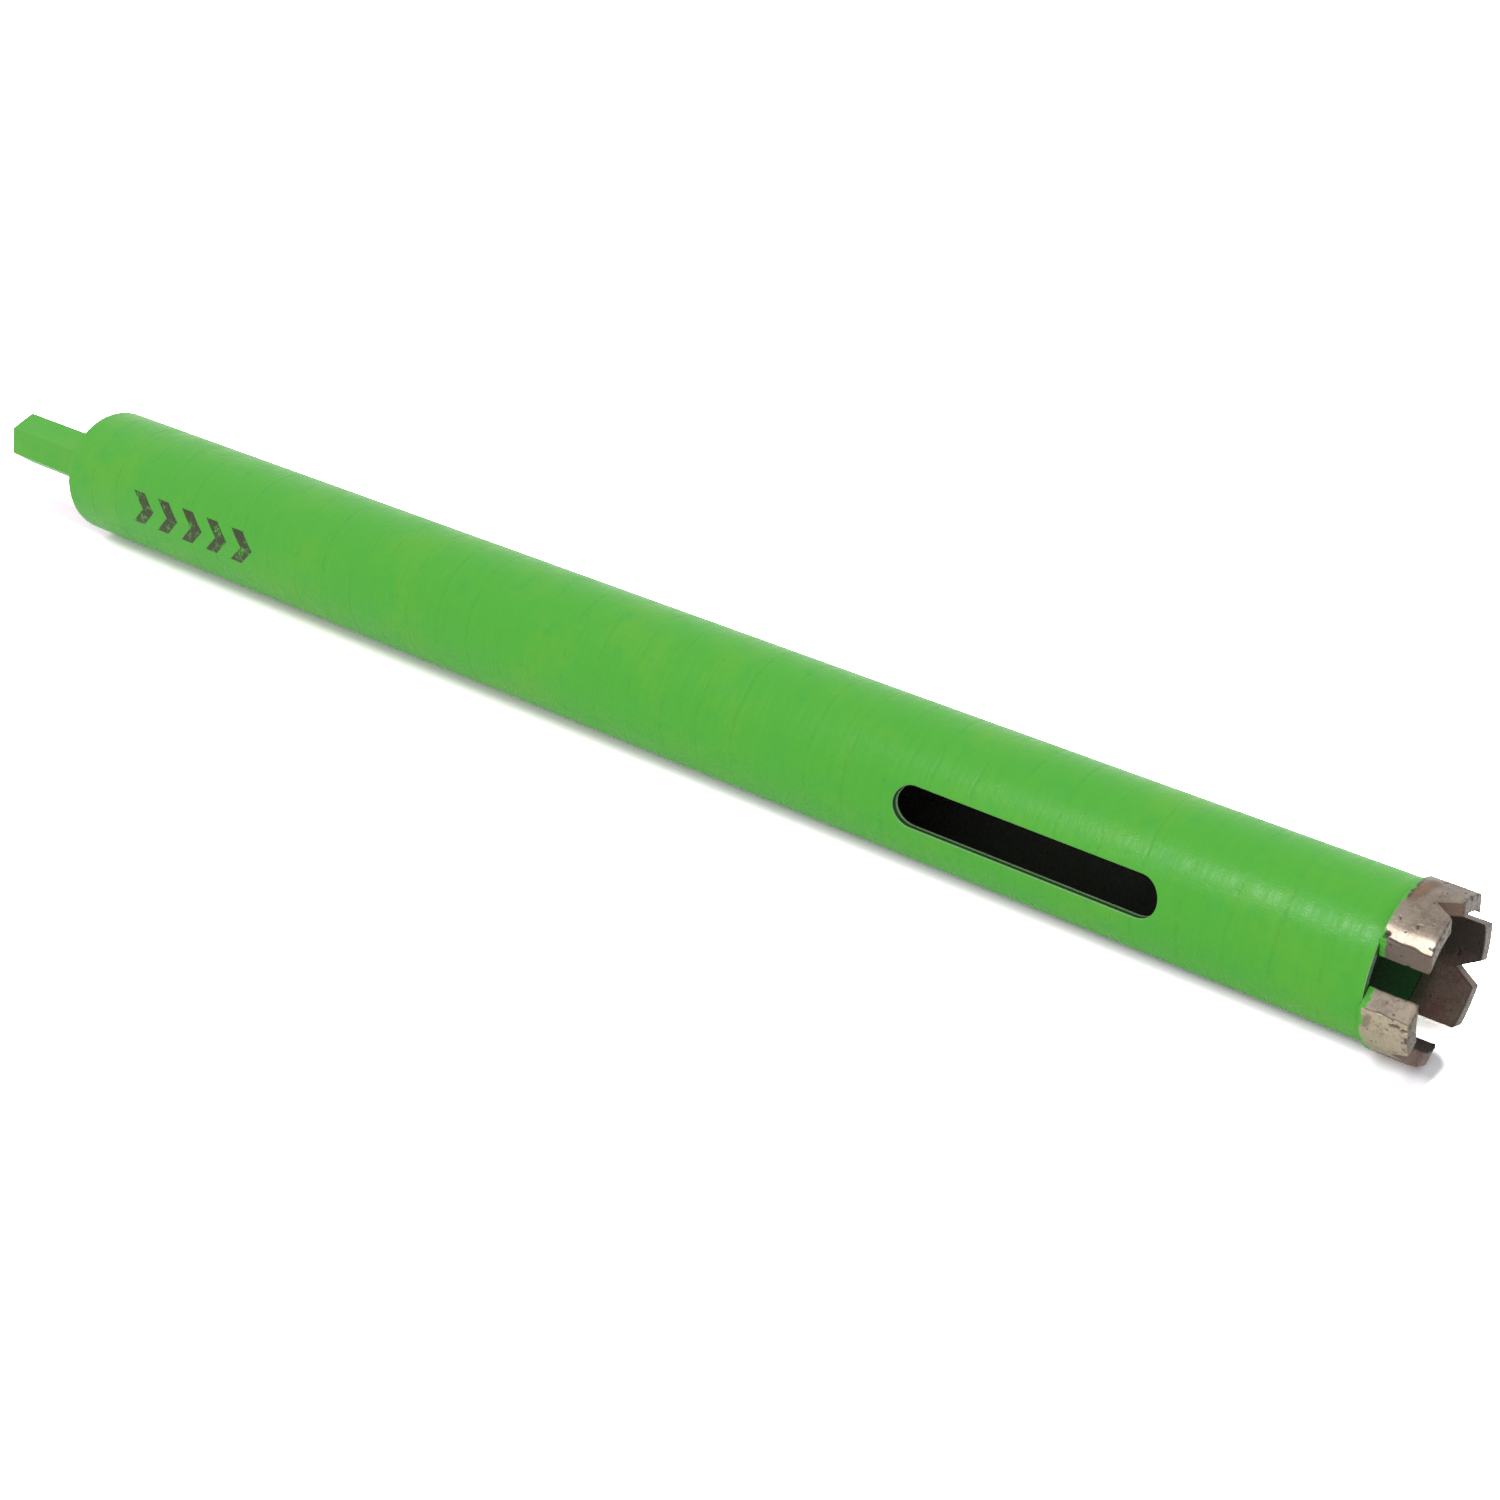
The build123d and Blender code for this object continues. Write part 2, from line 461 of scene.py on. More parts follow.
def segment_blank():
    """Closed block with a V notch, centred on the +Z axis."""
    mesh = bmesh.new()
    inner = core_radius - SEGMENT_THICKNESS
    corners = [(rim_x, inner), (tip_x, inner), (tip_x, core_radius), (rim_x, core_radius)]
    loop = [mesh.verts.new((x, 0, z)) for x, z in corners]
    edges = [mesh.edges.new((loop[i], loop[(i + 1) % 4])) for i in range(4)]
    bmesh.ops.spin(mesh, geom=edges, cent=(0, 0, 0), axis=(1, 0, 0), angle=SPIN_ANGLE, steps=SPIN_STEPS)
    cut_away(mesh, (0, segment_half_width, 0), (0, 1, 0))
    cut_away(mesh, (tip_x - NOTCH_DEPTH, 0, 0), (NOTCH_WIDTH / 2, -NOTCH_DEPTH, 0))
    half = mesh.verts[:] + mesh.edges[:] + mesh.faces[:]
    bmesh.ops.mirror(mesh, geom=half, axis="Y", merge_dist=MERGE_DISTANCE)
    bmesh.ops.remove_doubles(mesh, verts=mesh.verts[:], dist=MERGE_DISTANCE)
    bmesh.ops.recalc_face_normals(mesh, faces=mesh.faces[:])
    return mesh


blank = segment_blank()
open_edges = [edge for edge in blank.edges if not edge.is_manifold]
blank_volume = blank.calc_volume() / MM**3
print("segment blank:", len(blank.faces), "faces,", len(open_edges), "open edges,", blank_volume, "mm3")

# %% [markdown]
# No two segments of a used bit are worn alike. Dents, cracks and patches of rust that the eye would miss if
# they were random are given one by one, each as a short path on the outer face. The lower part of the first
# segment was ground flat by the drill, and the teeth of the second are the bluntest.

# %% How each segment is worn
FACET_EDGE = 28.3

# Corners are the radii of the tip's corners at the lower and the upper end, and blunt those of the other
# edges of the lower and the upper tooth, in mm. The facet is the angle at which the drill ground the lower
# part flat, and FACET_EDGE leaves it round. Waves are how uneven the faces are, in mm. Marks are each a
# radius, a depth and a path of points (x from the rim, y in the segment's own frame), in mm. Rust and stains
# have a strength in place of the depth.
SEGMENT_WEAR = {
    1: dict(
        seed=40.0,
        corners=(0.4, 0.4),
        blunt=(0.3, 0.3),
        facet=36.0,
        waves=0.04,
        notch_rust=0.6,
        dusty=0.1,
        stain=((3.0, 0.25, ((5.0, 8.0),)),),
        marks=(
            (0.5, 0.6, ((0.6, -8.0), (0.8, -7.7))),
            (0.32, 0.12, ((4.5, -5.5),)),
            (0.3, 0.2, ((8.1, -7.55),)),
            (0.26, 0.2, ((8.2, -5.65),)),
            (0.22, 0.15, ((8.2, -4.5),)),
            (0.2, 0.15, ((7.3, -3.05),)),
            (0.18, 0.12, ((7.5, -2.3),)),
            (0.38, 0.25, ((8.1, 4.6),)),
            (0.28, 0.2, ((8.2, 6.5),)),
            (0.3, 0.1, ((0.7, -0.9), (0.6, 1.0), (0.6, 3.9))),
        ),
        rust=((1.5, 0.75, ((1.0, -0.8), (1.7, 1.9), (2.2, 4.6))), (0.85, 1.0, ((1.4, 0.5), (1.9, 2.9)))),
    ),
    2: dict(
        seed=85.0,
        corners=(1.7, 1.0),
        blunt=(1.1, 0.7),
        facet=FACET_EDGE,
        waves=0.2,
        notch_rust=0.2,
        dusty=1.0,
        stain=((3.2, 0.62, ((8.4, -6.6),)), (2.6, 0.88, ((3.6, -3.6), (7.8, -3.0)))),
        marks=(
            (0.42, 0.35, ((5.2, 7.3), (6.2, 7.5))),
            (0.4, 0.35, ((7.1, 7.05), (7.9, 7.2))),
            (0.36, 0.3, ((7.45, 5.9), (7.7, 5.1))),
            (0.6, 0.25, ((8.1, 8.1), (8.2, 7.4))),
            (0.22, 0.12, ((1.5, 4.8),)),
        ),
        rust=((0.8, 0.55, ((1.5, 7.1), (1.2, 5.7))),),
    ),
    3: dict(
        seed=130.0,
        corners=(0.5, 0.4),
        blunt=(0.3, 0.3),
        facet=FACET_EDGE,
        waves=0.03,
        notch_rust=0.1,
        dusty=0.6,
        stain=((2.5, 0.3, ((3.0, 4.0),)),),
        marks=(
            (0.4, 0.25, ((2.6, 4.1),)),
            (0.5, 0.3, ((6.9, -6.2),)),
            (0.2, 0.18, ((3.4, -2.0), (4.6, -3.1), (5.1, -4.6), (6.6, -5.9))),
        ),
        rust=((0.8, 0.8, ((1.4, -4.4), (2.0, -3.8))),),
    ),
}
print("wear for segments", list(SEGMENT_WEAR))

# %% [markdown]
# A mark is deepest along its path and fades out at its radius. On the flat plan of the outer face that is
# the distance to a few straight lines, which needs no picture and no brush.

# %% Helpers for marks
FULL_MARK = 0.35


def above(value, low, high):
    """0 below low, 1 above high, and straight between them."""
    return min(1.0, max(0.0, (value - low) / (high - low)))


def path_distance(here, path):
    """Distance from a point of the plane to a path of one or more points."""
    points = [Vector(place) for place in (*path, path[-1])]
    nearest = []
    for start, stop in zip(points, points[1:]):
        share = intersect_point_line(here, start, stop)[1] if start != stop else 0.0
        nearest.append((here - start.lerp(stop, min(1.0, max(0.0, share)))).length)
    return min(nearest)


def mark_at(here, marks):
    """Depth and strength of the marks at a place on the outer face."""
    depth = strength = 0.0
    for radius, deepest, path in marks:
        inside = 1.0 - above(path_distance(here, path), FULL_MARK * radius, radius)
        depth = max(depth, deepest * inside)
        strength = max(strength, inside)
    return depth, strength


# %% [markdown]
# A tooth loses its tip's edges first. Each is rounded by pulling the points that stand outside a round of
# the given radius back onto it, which works on any fine mesh, where a bevel needs clean edges. The flat is
# ground in the same way: what stands above it is lowered, with a soft ridge where it ends.

# %% Round the teeth and grind the flat
FACET_SOFTNESS = 0.05 * MM


def round_tip(point, radius, face, reach):
    """Rounds the edge between the tip and a face, given by its normal and how far out it is."""
    lean = face.x
    tip_share = radius - (tip_x - point.x)
    face_share = radius - (reach - face.dot(point))
    tip_share, face_share = tip_share - lean * face_share, face_share - lean * tip_share
    out = (Vector((tip_share, 0, 0)) + face * face_share) / (1 - lean * lean)
    if tip_share > 0 and face_share > 0 and out.length > radius:
        point -= out * (1 - radius / out.length)


def round_tooth(point, corners, blunt):
    """Rounds a tooth's tip towards its end, its outer face and the notch."""
    lower = point.y < 0
    side = Vector((0, -1 if lower else 1, 0))
    wall = (Vector((NOTCH_WIDTH / 2, 0, 0)) - side * NOTCH_DEPTH).normalized()
    radius = (blunt[0] if lower else blunt[1]) * MM
    round_tip(point, (corners[0] if lower else corners[1]) * MM, side, segment_half_width)
    round_tip(point, radius, wall, wall.x * (tip_x - NOTCH_DEPTH))
    round_tip(point, radius, Vector((0, point.y, point.z)).normalized(), core_radius)


def grind_facet(point, angle):
    """Moves a point that stands above the flat ground at an angle onto it, with a soft ridge."""
    normal = Vector((0, -sin(radians(angle)), cos(radians(angle))))
    height = point.dot(normal) - core_radius * cos(radians(angle - FACET_EDGE))
    point -= normal * (height + hypot(height, FACET_SOFTNESS)) / 2


# %% [markdown]
# Then every point moves inwards. Noise makes the faces uneven and opens pores. A wavy groove follows the edge
# between the outer face and each end, where the grinding stopped, and its dark colour is also painted shade
# in the groove. What the finish needs to know is kept on each point: how damaged it is, how grimy and shaded
# its face is, where rust lies, and how dusty it is. The shade is painted: on the lower end faces more than
# the upper, on the notch walls, and on the inside, most towards its lower side. The vector noise that makes
# borders ragged takes its seed from the clock unless it is given one, so it gets a fixed seed.

# %% Wear at a point
NOISE_SEED = 1
GROOVE_REACH = 0.2
PORE_DEPTH = 0.12
CREASE_DEPTH = 0.1
GRAIN_DEPTH = 0.004
ROUGH_GRAIN_DEPTH = 0.03
# These levels also paint shade: the lower end faces, the notch walls and the inside are darkened where shade
# falls.
LOWER_END_GRIME_AND_SHADE = 0.6
UPPER_END_GRIME_AND_SHADE = 0.15
NOTCH_GRIME_AND_SHADE = 0.5
INSIDE_GRIME_AND_SHADE = 0.85
noise.seed_set(NOISE_SEED)


def wear_at(point, seed, waves, marks, rust, stain, notch_rust, dusty):
    """How far a point of a segment is worn in, and its masks from 0 to 1. Distances here are in mm."""
    here = point / MM + Vector((seed, 0, 0))
    radius = hypot(point.y, point.z)
    from_outside = (core_radius - radius) / MM
    from_inside = (radius - core_radius + SEGMENT_THICKNESS) / MM
    from_end = (segment_half_width - abs(point.y)) / MM
    from_tip = (tip_x - point.x) / MM
    from_notch = NOTCH_DEPTH * abs(point.y) + NOTCH_WIDTH / 2 * (tip_x - NOTCH_DEPTH - point.x)
    from_notch /= hypot(NOTCH_WIDTH / 2, NOTCH_DEPTH) * MM

    swell = 0.5 + 0.35 * noise.noise(here * 0.4) + 0.3 * noise.noise(here * 0.9)
    grain = 0.5 + 0.5 * noise.noise(here * 2.6)
    pore = above(noise.noise(here * 1.5 + Vector((7, 3, 1))), 0.5, 0.68)

    ragged = Vector((point.x - rim_x, point.y)) / MM
    ragged += 0.22 * noise.noise_vector(here * 1.3).xy
    outer = 1.0 - above(from_outside, 0.6, 0.9)
    dent, dented = mark_at(ragged, marks)
    rusty = mark_at(ragged, rust)[0] * outer

    # The crease is a groove, and its dark colour in the damage mask is also painted shade.
    border = from_end - from_outside + 0.35 * noise.noise(here * 0.55)
    crease = (1.0 - above(abs(border), 0.03, GROOVE_REACH)) * (1.0 - above(from_end + from_outside, 0.5, 0.8))
    rough = above(from_outside, 0.1, 0.5)
    depth = waves * swell + (GRAIN_DEPTH + ROUGH_GRAIN_DEPTH * rough) * grain + PORE_DEPTH * pore
    depth = depth + outer * dent + CREASE_DEPTH * crease
    inner_edge = 1.0 - above(hypot(from_inside, min(from_tip, from_notch)), 0.15, 0.4)
    crumbled = (1.0 - above(from_tip, 0.2, 0.4)) * above(noise.noise(here * 2.2), 0.1, 0.35)
    damage_and_shade = max(0.8 * pore, 0.8 * dented * outer, 0.85 * crease, 0.7 * inner_edge, 0.6 * crumbled)

    end_face = (1.0 - above(border, -0.05, 0.08)) * (1.0 - above(from_end, 0.35, 0.6))
    notch_wall = (1.0 - above(from_notch, 0.12, 0.3)) * above(from_outside, 0.08, 0.25)
    inside = 1.0 - above(from_inside, 0.15, 0.45)
    # The inside is darker towards its lower side, as painted shade over its grime, and lower ends more than
    # upper ones.
    lower_side = above(-point.y / MM + 2.0 * noise.noise(here * 0.5), -1.0, 3.0)
    soot_and_shade = INSIDE_GRIME_AND_SHADE + (1.0 - INSIDE_GRIME_AND_SHADE) * lower_side
    end_grime_and_shade = LOWER_END_GRIME_AND_SHADE if point.y < 0 else UPPER_END_GRIME_AND_SHADE
    grime_and_shade = max(end_face * end_grime_and_shade, notch_wall * NOTCH_GRIME_AND_SHADE, inside * soot_and_shade, mark_at(ragged, stain)[0])
    dust = dusty * (1.0 - inside) * (1.0 - 0.35 * end_face)
    return depth, damage_and_shade, grime_and_shade, max(rusty, notch_rust * notch_wall), dust


# %% [markdown]
# Each segment is a copy of the blank. Wear needs an even, fine mesh, so a voxel remesh comes first, and
# smoothing rounds the edges. The base stays on the rim, and the worn segment is turned to its place.

# %% Make the three segments
VOXEL = 0.11 * MM
EDGE_SMOOTHING = 8
HELD_BASE = 0.3 * MM
# Two masks also carry painted shade: damage in the creases, and grime on the ends, notch walls and inside.
MASKS = ("damage_and_shade", "grime_and_shade", "rust", "dust")


def object_from(mesh, name):
    """Puts a bmesh into a new object at the origin."""
    data = bpy.data.meshes.new(name)
    mesh.to_mesh(data)
    piece = bpy.data.objects.new(name, data)
    scene.collection.objects.link(piece)
    return piece


def apply_modifiers(piece):
    """Replaces a piece's mesh with its evaluated one."""
    bpy.context.view_layer.update()
    evaluated = piece.evaluated_get(bpy.context.evaluated_depsgraph_get())
    data = bpy.data.meshes.new_from_object(evaluated)
    piece.modifiers.clear()
    piece.data = data


def wear(piece, corners, blunt, facet, **wear_values):
    """Moves the points of a segment inwards, but leaves its base on the rim, and keeps the masks."""
    mesh = bmesh.new()
    mesh.from_mesh(piece.data)
    mesh.normal_update()
    layers = [mesh.verts.layers.float.new(name) for name in MASKS]
    for vert in mesh.verts:
        round_tooth(vert.co, corners, blunt)
        grind_facet(vert.co, facet)
        depth, *masks = wear_at(vert.co, **wear_values)
        for layer, value in zip(layers, masks):
            vert[layer] = value
        moved = above(vert.co.x, rim_x, rim_x + HELD_BASE)
        vert.co -= vert.normal * depth * moved * MM
    mesh.to_mesh(piece.data)
    mesh.free()


def crown_segment(number, angle):
    """One worn segment at its angle about the axis."""
    piece = object_from(blank, f"diamond_segment_{number}")
    remesh = piece.modifiers.new("even", "REMESH")
    remesh.mode = "VOXEL"
    remesh.voxel_size = VOXEL
    smooth = piece.modifiers.new("round", "SMOOTH")
    smooth.iterations = EDGE_SMOOTHING
    smooth.factor = 0.5
    apply_modifiers(piece)
    wear(piece, **SEGMENT_WEAR[number])
    piece.data.transform(Matrix.Rotation(angle, 4, "X"))
    piece.data.shade_smooth()
    return piece


REST_ROLL = radians(4.444)
SEGMENT_PITCH = 2 * pi / 3
segments = {n: crown_segment(n, REST_ROLL + (n - 1) * SEGMENT_PITCH) for n in SEGMENT_WEAR}
for piece in segments.values():
    print(piece.name, len(piece.data.polygons), "faces")

# %% [markdown]
# The sintered metal is a warm grey. Its outer face was ground and then rubbed by the hole, so it is the
# lightest and smoothest part. The tips are greyer, the ends and the notch walls browner, and the inner face
# is dark with dust. The ends, the notch walls and the inner face are darker also as painted shade, the lower
# ends and the lower side of the inside most, and so are the dark creases. Paint from the barrel drifted half
# a millimetre onto the base, and two millimetres up the inner face as a dark mist. The masks kept on the
# points say where each of these goes, and noise breaks up their borders.

# %% Sintered metal
SINTER_LIGHT = rgb(146, 134, 121)
SINTER_MID = rgb(122, 110, 100)
SINTER_DUSTY = rgb(184, 169, 147)
SINTER_TIP = rgb(122, 113, 104)
# The end, inside and soot colours are darker also as painted shade.
SINTER_END = rgb(120, 105, 95)
SINTER_INSIDE = rgb(111, 95, 83)
SINTER_SOOT_AND_SHADE = rgb(60, 51, 44)
SINTER_DARK = rgb(48, 38, 33)
SINTER_INSIDE_RED = rgb(106, 76, 68)
SINTER_RUST = rgb(118, 90, 71)
SINTER_ORANGE = rgb(140, 102, 64)
INSIDE_MIST = rgb(50, 60, 28)
INSIDE_MIST_REACH = 2.8 * MM
OVERSPRAY_REACH = 0.4 * MM
END_OVERSPRAY = 0.6 * MM
END_DULLNESS = 0.7
SINTER_METALLIC = 0.75
SINTER_ROUGHNESS = 0.26
DULL_ROUGHNESS = 0.3
SPECKLE_DEPTH = 0.08 * MM
TIP_BAND = (0.45 * MM, 0.25 * MM)
DAMAGE_AND_SHADE_STRENGTH = 0.85
MIST_STRENGTH = 0.85
BORDER_RAGGEDNESS = 1.5 * MM


def grimy_and_shaded(tree, colour, grime_and_shade):
    """The ground metal's colour, browner on the ends and darker inside as grime and painted shade grow."""
    colour = mix(tree, ramp(tree, grime_and_shade, 0.0, LOWER_END_GRIME_AND_SHADE), colour, SINTER_END)
    reddish = ramp(tree, use(tree, cloudiness, Size=2.2, Grain=0.8)["Factor"], 0.42, 0.62)
    inside = mix(tree, reddish, SINTER_INSIDE, SINTER_INSIDE_RED)
    colour = mix(tree, ramp(tree, grime_and_shade, LOWER_END_GRIME_AND_SHADE, INSIDE_GRIME_AND_SHADE), colour, inside)
    return mix(tree, ramp(tree, grime_and_shade, INSIDE_GRIME_AND_SHADE, 1.0), colour, SINTER_SOOT_AND_SHADE)


def make_sinter():
    """Rough grey-brown metal, with green overspray next to the rim."""
    material, tree, shader = new_material("sintered_metal")
    _, axes, _ = object_place(tree)
    damage_and_shade, grime_and_shade, rust, dust = (
        add(tree, "ShaderNodeAttribute", attribute_name=name).outputs["Fac"] for name in MASKS
    )
    blotches = use(tree, cloudiness, Size=2.8, Grain=0.4)["Factor"]
    speckle = use(tree, cloudiness, Size=0.6, Grain=0.7)["Factor"]
    colour = mix(tree, ramp(tree, blotches, 0.35, 0.65), SINTER_MID, SINTER_LIGHT)
    dusty = product(tree, dust, ramp(tree, calc(tree, "MULTIPLY_ADD", speckle, 0.4, blotches), 0.3, 0.75))
    colour = mix(tree, dusty, colour, SINTER_DUSTY)
    tip = ramp(tree, axes[0], *(tip_x - depth for depth in TIP_BAND))
    # The ends, notch walls and inside take grime and painted shade here.
    colour = grimy_and_shaded(tree, mix(tree, tip, colour, SINTER_TIP), grime_and_shade)
    colour = tint(tree, colour, calc(tree, "MULTIPLY_ADD", speckle, 0.4, 0.8))
    rusty = product(tree, rust, calc(tree, "MULTIPLY_ADD", blotches, 0.8, 0.6, clamp=True))
    colour = mix(tree, rusty, colour, mix(tree, ramp(tree, rust, 0.7, 1.0), SINTER_RUST, SINTER_ORANGE))
    # Damage darkens pores, dents, chips and creases; in the creases the dark is also painted shade.
    colour = mix(tree, product(tree, damage_and_shade, DAMAGE_AND_SHADE_STRENGTH), colour, SINTER_DARK)
    ragged = use(tree, cloudiness, Size=1.3, Grain=0.15)["Factor"]
    uneven = calc(tree, "SUBTRACT", calc(tree, "ADD", blotches, ragged), 1.0)
    uneven = product(tree, uneven, BORDER_RAGGEDNESS)
    reach = calc(tree, "ADD", calc(tree, "SUBTRACT", axes[0], rim_x), uneven)
    reach = calc(tree, "SUBTRACT", reach, product(tree, ramp(tree, grime_and_shade, 0.02, 0.12), END_OVERSPRAY))
    mist = inverse(tree, ramp(tree, reach, 0.0, INSIDE_MIST_REACH))
    mist = product(tree, mist, ramp(tree, grime_and_shade, LOWER_END_GRIME_AND_SHADE, INSIDE_GRIME_AND_SHADE), MIST_STRENGTH)
    colour = mix(tree, mist, colour, INSIDE_MIST)
    spray = inverse(tree, ramp(tree, reach, OVERSPRAY_REACH * 0.6, OVERSPRAY_REACH * 1.5))
    spray = product(tree, spray, ramp(tree, grime_and_shade, INSIDE_GRIME_AND_SHADE, LOWER_END_GRIME_AND_SHADE))
    put(tree, shader.inputs["Base Color"], mix(tree, spray, colour, PAINT_GREEN))
    dull = calc(tree, "MAXIMUM", calc(tree, "MAXIMUM", spray, damage_and_shade), ramp(tree, grime_and_shade, 0.3, 0.9))
    dull = calc(tree, "MAXIMUM", dull, rusty)
    dull = calc(tree, "MAXIMUM", dull, product(tree, ramp(tree, grime_and_shade, 0.02, UPPER_END_GRIME_AND_SHADE), END_DULLNESS))
    put(tree, shader.inputs["Metallic"], product(tree, inverse(tree, dull), SINTER_METALLIC))
    roughness = calc(tree, "MULTIPLY_ADD", speckle, 0.2, SINTER_ROUGHNESS)
    put(tree, shader.inputs["Roughness"], calc(tree, "MULTIPLY_ADD", dull, DULL_ROUGHNESS, roughness))
    coarse = calc(tree, "MULTIPLY_ADD", dull, 0.4, 0.13)
    bump = add(tree, "ShaderNodeBump", {"Height": speckle, "Strength": coarse, "Distance": SPECKLE_DEPTH})
    put(tree, shader.inputs["Normal"], bump)
    return material


sinter = make_sinter()
for number, piece in segments.items():
    piece.data.materials.clear()
    piece.data.materials.append(sinter)
    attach(piece, "root")
    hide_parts(f"crown_segment_{number}")
    print(piece.name, "takes the place of", f"crown_segment_{number}")

# %% [markdown]
# The floor is one pale sheet that runs out past the picture. Where the camera looks at it, its colour is
# bright enough to turn white, and only a narrow shadow is left along the bit. The camera's colour is lower
# under the bit, which is a painted shadow along that line. Beside the barrel it holds less green too, because
# green light from the paint falls there. It rises towards the rim, so that the shadow stays as narrow in the
# picture where the bit comes near. It is lowest round the tooth that touches the floor, a painted shadow
# there, and high again beyond it, which paints out the shadow that the segments cast.

# %% Floor
FLOOR_SIZE = 6.0
FLOOR_COLOUR = (0.85, 0.85, 0.85, 1.0)
FLOOR_WHITE = (1.2, 1.2, 1.2, 1.0)
# The camera's colours paint the shadow: lower under the bit and by the tooth, and high beyond it to paint out
# the segments' shadow.
SEEN_BESIDE_BARREL = (3.0, 2.35, 3.0, 1.0)
SEEN_NEAR_RIM = (4.7, 3.25, 4.9, 1.0)
SEEN_BESIDE_CROWN = (2.4, 2.4, 2.6, 1.0)
SEEN_IN_TOOTH_SHADOW = (1.45, 1.45, 1.5, 1.0)
SEEN_BEYOND_TOOTH = (7.0, 7.0, 7.0, 1.0)
NARROWING_START = 80 * MM
UNDER_WIDTHS = (0.39 * barrel_radius, 0.48 * barrel_radius)
UNDER_SHADOW_DARKNESS = 0.33
CROWN_REACH = (-1.0 * MM, 1.8 * MM)
TOOTH_CORNER = (345.5 * MM, -4.0 * MM, 0.0)
TOOTH_REACH = (-2.5 * MM, 1.0 * MM)
TOOTH_SHADOW = (2.4 * MM, 4.8 * MM)
CONTACT_SHADOW_WIDTHS = (0.45 * barrel_radius, 0.72 * barrel_radius)
CONTACT_SHADOW_TONE = 0.58


def make_floor():
    """A large flat sheet just under the barrel."""
    mesh = bmesh.new()
    bmesh.ops.create_grid(mesh, x_segments=1, y_segments=1, size=FLOOR_SIZE / 2)
    bmesh.ops.translate(mesh, verts=mesh.verts[:], vec=(CAMERA_AIM.x, 0, floor_z))
    piece = object_from(mesh, "studio_floor")
    material, tree, shader = new_material("pale_floor")
    place, axes, _ = object_place(tree)
    from_axis = calc(tree, "ABSOLUTE", axes[1])
    forward = ramp(tree, axes[0], barrel_low.x + NARROWING_START, rim_x)
    # Painted shadow: the camera's colour is darker along the line under the barrel, more towards the rim.
    under = inverse(tree, ramp(tree, from_axis, *UNDER_WIDTHS))
    seen = mix(tree, forward, SEEN_BESIDE_BARREL, SEEN_NEAR_RIM)
    seen = tint(tree, seen, inverse(tree, product(tree, forward, under, UNDER_SHADOW_DARKNESS)))
    by_crown = ramp(tree, axes[0], *(rim_x + reach for reach in CROWN_REACH))
    seen = mix(tree, by_crown, seen, SEEN_BESIDE_CROWN)
    # Painted shadow round the tooth that touches the floor.
    by_tooth = ramp(tree, axes[0], *(TOOTH_CORNER[0] + reach for reach in TOOTH_REACH))
    seen = mix(tree, by_tooth, seen, SEEN_IN_TOOTH_SHADOW)
    # Beyond the tooth the colour is high, which paints out the segments' shadow.
    past = add(tree, "ShaderNodeVectorMath", {0: place, 1: TOOTH_CORNER}, operation="SUBTRACT")
    past = add(tree, "ShaderNodeVectorMath", {0: past, 1: (0, 0, 0)}, operation="MAXIMUM")
    beyond = add(tree, "ShaderNodeVectorMath", {0: past}, operation="LENGTH").outputs["Value"]
    seen = mix(tree, ramp(tree, beyond, *TOOTH_SHADOW), seen, SEEN_BEYOND_TOOTH)
    # Painted shadow: darker still close to the line under the bit.
    beside = ramp(tree, from_axis, *CONTACT_SHADOW_WIDTHS)
    seen = tint(tree, seen, calc(tree, "MULTIPLY_ADD", beside, 1.0 - CONTACT_SHADOW_TONE, CONTACT_SHADOW_TONE))
    rays = add(tree, "ShaderNodeLightPath").outputs
    mirrored = calc(tree, "MAXIMUM", rays["Is Glossy Ray"], rays["Is Transmission Ray"])
    colour = mix(tree, mirrored, FLOOR_COLOUR, FLOOR_WHITE)
    put(tree, shader.inputs["Base Color"], mix(tree, rays["Is Camera Ray"], colour, seen))
    shader.inputs["Roughness"].default_value = 1.0
    shader.inputs["Specular IOR Level"].default_value = 0.0
    piece.data.materials.append(material)
    return piece


floor = make_floor()
print("floor:", floor.name, "at height", floor_z)

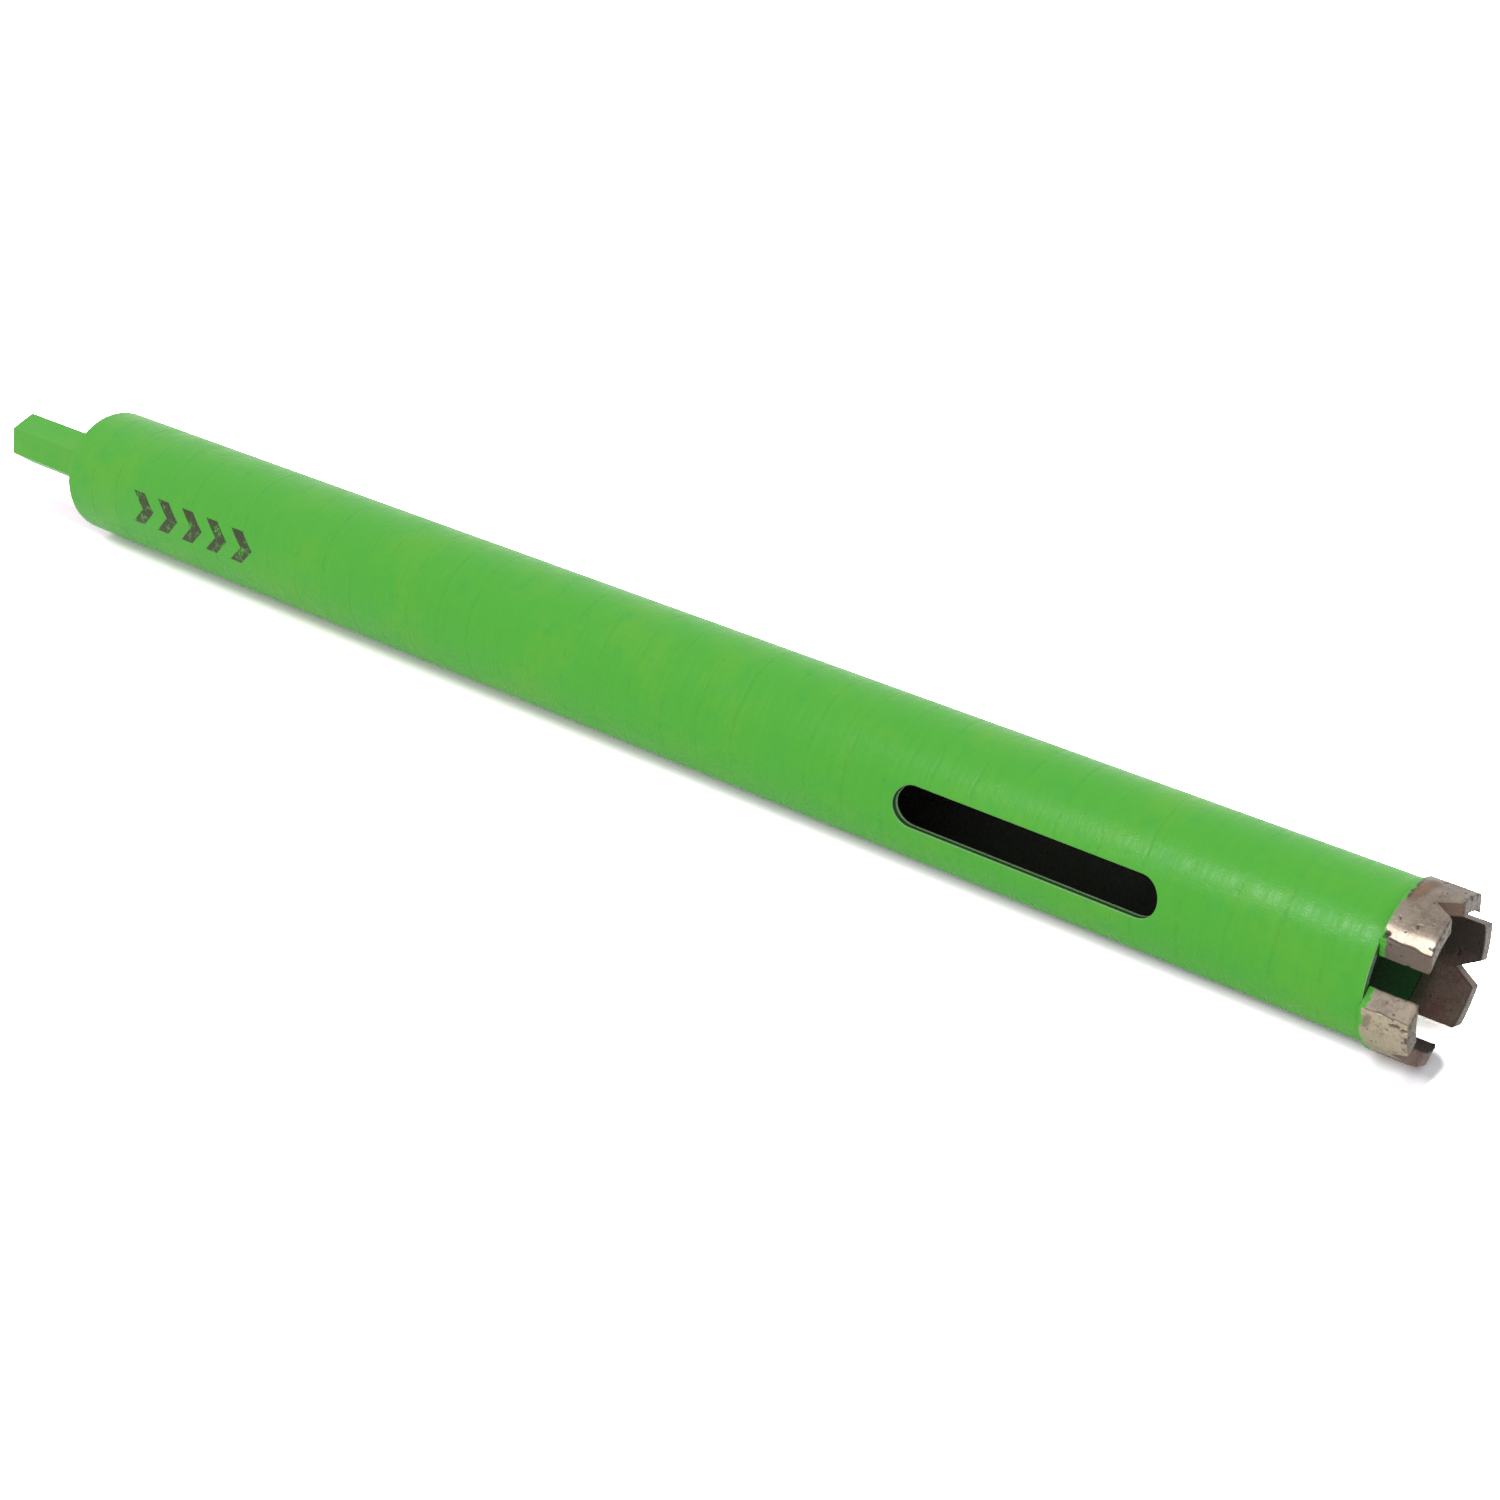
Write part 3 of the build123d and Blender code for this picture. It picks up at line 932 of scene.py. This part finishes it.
# %% [markdown]
# Soft light comes evenly from a white world. One narrow lamp hangs above the barrel on the camera's side,
# where the paint between the slot and the rim mirrors it as a pale streak, and the ground part of the upper
# segment as a bright patch. Only gloss sees it, so it doesn't wash the colours out. It faces the crown, so
# it is turned by a matrix of three axes: along the lamp, across it, and away from what it lights.

# %% Light
WORLD_STRENGTH = 0.95
LAMP_LOW_END = Vector((150, -225, 368)) * MM
LAMP_HIGH_END = Vector((260, -235, 387)) * MM
LAMP_AIM = Vector((325, -9, 10)) * MM
LAMP_WIDTH = 60 * MM
LAMP_POWER = 0.85


def make_world():
    """Even white light, exactly white where it is looked at or mirrored."""
    world = bpy.data.worlds.new("studio")
    scene.world = world
    world.use_nodes = True
    tree = world.node_tree
    rays = add(tree, "ShaderNodeLightPath").outputs
    looked_at = calc(tree, "MAXIMUM", rays["Is Camera Ray"], rays["Is Glossy Ray"])
    looked_at = calc(tree, "MAXIMUM", looked_at, rays["Is Transmission Ray"])
    strength = calc(tree, "MULTIPLY_ADD", looked_at, 1.0 - WORLD_STRENGTH, WORLD_STRENGTH)
    backdrop = tree.nodes["Background"]
    backdrop.inputs["Color"].default_value = (1, 1, 1, 1)
    put(tree, backdrop.inputs["Strength"], strength)


def make_strip_lamp():
    """A long narrow lamp between its two ends, facing the crown."""
    data = bpy.data.lights.new("strip_lamp", "AREA")
    data.shape = "RECTANGLE"
    data.size = (LAMP_HIGH_END - LAMP_LOW_END).length
    data.size_y = LAMP_WIDTH
    data.energy = LAMP_POWER
    lamp = bpy.data.objects.new("strip_lamp", data)
    lamp.visible_diffuse = False
    scene.collection.objects.link(lamp)
    centre = (LAMP_LOW_END + LAMP_HIGH_END) / 2
    away = (centre - LAMP_AIM).normalized()
    along = (LAMP_HIGH_END - LAMP_LOW_END).normalized()
    across = away.cross(along).normalized()
    axes = Matrix((across.cross(away), across, away)).transposed()
    lamp.matrix_world = Matrix.Translation(centre) @ axes.to_4x4()


make_world()
make_strip_lamp()
print("lights:", [lamp.name for lamp in bpy.data.lights], "and the world", scene.world.name)

# %% [markdown]
# Last, the view layer is updated. The worn segments must lie inside the box that the frame gave.

# %% Finish
bpy.context.view_layer.update()
